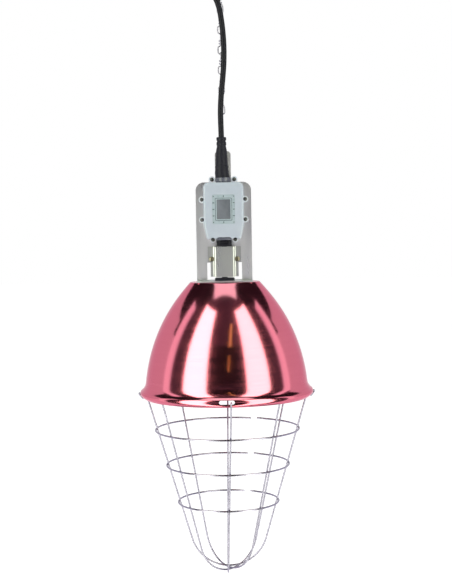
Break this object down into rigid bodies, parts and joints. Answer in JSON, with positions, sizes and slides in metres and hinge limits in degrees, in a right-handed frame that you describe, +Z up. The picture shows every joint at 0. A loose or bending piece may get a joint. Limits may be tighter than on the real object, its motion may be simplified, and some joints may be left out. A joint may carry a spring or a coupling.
{
  "type": "infrared heat lamp",
  "caption": "Hanging infrared heat lamp with a spun reflector, a wire guard, a bracket with a control box and cord, and a knotted wire chain between two hooks.",
  "frame": {"origin": "inside top of the upper hook, where a peg or bar carries the lamp", "axes": "+Z up, -Y towards the front of the control box, +X to the right seen from the front"},
  "size_m": [0.2158, 0.2158, 0.9244],
  "materials": {
    "hook_steel": "bright zinc plating",
    "chain_steel": "bright drawn wire",
    "bracket_steel": "cold rolled satin sheet",
    "cover_steel": "cold rolled satin sheet",
    "screw_steel": "plated",
    "dark_screws": "dark plated",
    "rivet_metal": "satin",
    "plated_steel": "zinc plated",
    "box_plastic": "moulded, slightly clear",
    "lid_plastic": "moulded, slightly clear",
    "rubber": "satin moulded",
    "board_green": "solder mask",
    "black_plastic": "moulded",
    "aluminium": "mill finish",
    "capacitor_yellow": "moulded",
    "copper": "enamelled copper winding",
    "terminal_green": "moulded",
    "wire_skin": "soft wire insulation",
    "cord_black": "smooth round sheath",
    "red_aluminium": "bright dipped and dyed, spun",
    "porcelain": "glazed",
    "brass": "bright",
    "guard_wire": "bright zinc plating",
    "plug_black": "moulded",
    "pin_nickel": "nickel plating"
  },
  "bodies": {
    "hook": {"hanging_hook": "hook_steel"},
    "top_link": {"chain_link_1": "chain_steel"},
    "chain": {"chain_link_2": "chain_steel", "chain_link_3": "chain_steel", "chain_link_4": "chain_steel", "chain_link_5": "chain_steel", "chain_link_6": "chain_steel", "chain_link_7": "chain_steel", "chain_link_8": "chain_steel", "chain_link_9": "chain_steel", "chain_link_10": "chain_steel", "chain_link_11": "chain_steel", "chain_link_12": "chain_steel", "chain_link_13": "chain_steel", "lamp_hook": "hook_steel", "cord_lead": "cord_black", "cord_coil": "cord_black", "cord_tail": "cord_black", "plug_body": "plug_black", "plug_pins": "pin_nickel", "coil_tie": "black_plastic"},
    "contact": {"centre_contact": "brass"},
    "lamp": {"bracket_plate": "bracket_steel", "cable_cover": "cover_steel", "cable_cover_screws": "screw_steel", "box_tray": "box_plastic", "box_gasket": "rubber", "box_lid": "lid_plastic", "lid_screws": "dark_screws", "tray_screws": "screw_steel", "circuit_board": "board_green", "triac": "black_plastic", "heat_spreader": "aluminium", "capacitor": "capacitor_yellow", "choke": "copper", "input_terminals": "terminal_green", "output_terminals": "terminal_green", "box_wires": "wire_skin", "cord_entry": "cord_black", "strain_relief": "rubber", "outlet_gland": "rubber", "link_cable": "cord_black", "foot_grommet": "rubber", "foot_rivets": "rivet_metal", "reflector_shade": "red_aluminium", "holder_strap": "plated_steel", "holder_screws": "screw_steel", "lampholder_body": "porcelain", "lampholder_shell": "brass", "holder_terminals": "brass", "earth_tab": "plated_steel", "holder_wires": "wire_skin", "guard_loop_1": "guard_wire", "guard_loop_2": "guard_wire", "guard_loop_3": "guard_wire", "guard_loop_4": "guard_wire", "guard_ring_1": "guard_wire", "guard_ring_2": "guard_wire", "guard_ring_3": "guard_wire"}
  },
  "joints": [
    {"name": "chain_swing", "type": "hinge", "parent": "hook", "child": "top_link", "pos_m": [0, 0, -0.0482], "axis": [0, 1, 0], "range_deg": [-20, 20]},
    {"name": "chain_rock", "type": "hinge", "parent": "top_link", "child": "chain", "pos_m": [0, 0, -0.0762], "axis": [1, 0, 0], "range_deg": [-25, 25]},
    {"name": "lamp_swing", "type": "hinge", "parent": "chain", "child": "lamp", "pos_m": [0, 0, -0.4159], "axis": [0, 1, 0], "range_deg": [-15, 15], "deforming": ["cord_lead"]},
    {"name": "contact_press", "type": "slide", "parent": "lamp", "child": "contact", "axis": [0, 0, 1], "range_m": [0, 0.0015], "stiffness_N_per_m": 600, "springref_m": -0.0005}
  ]
}
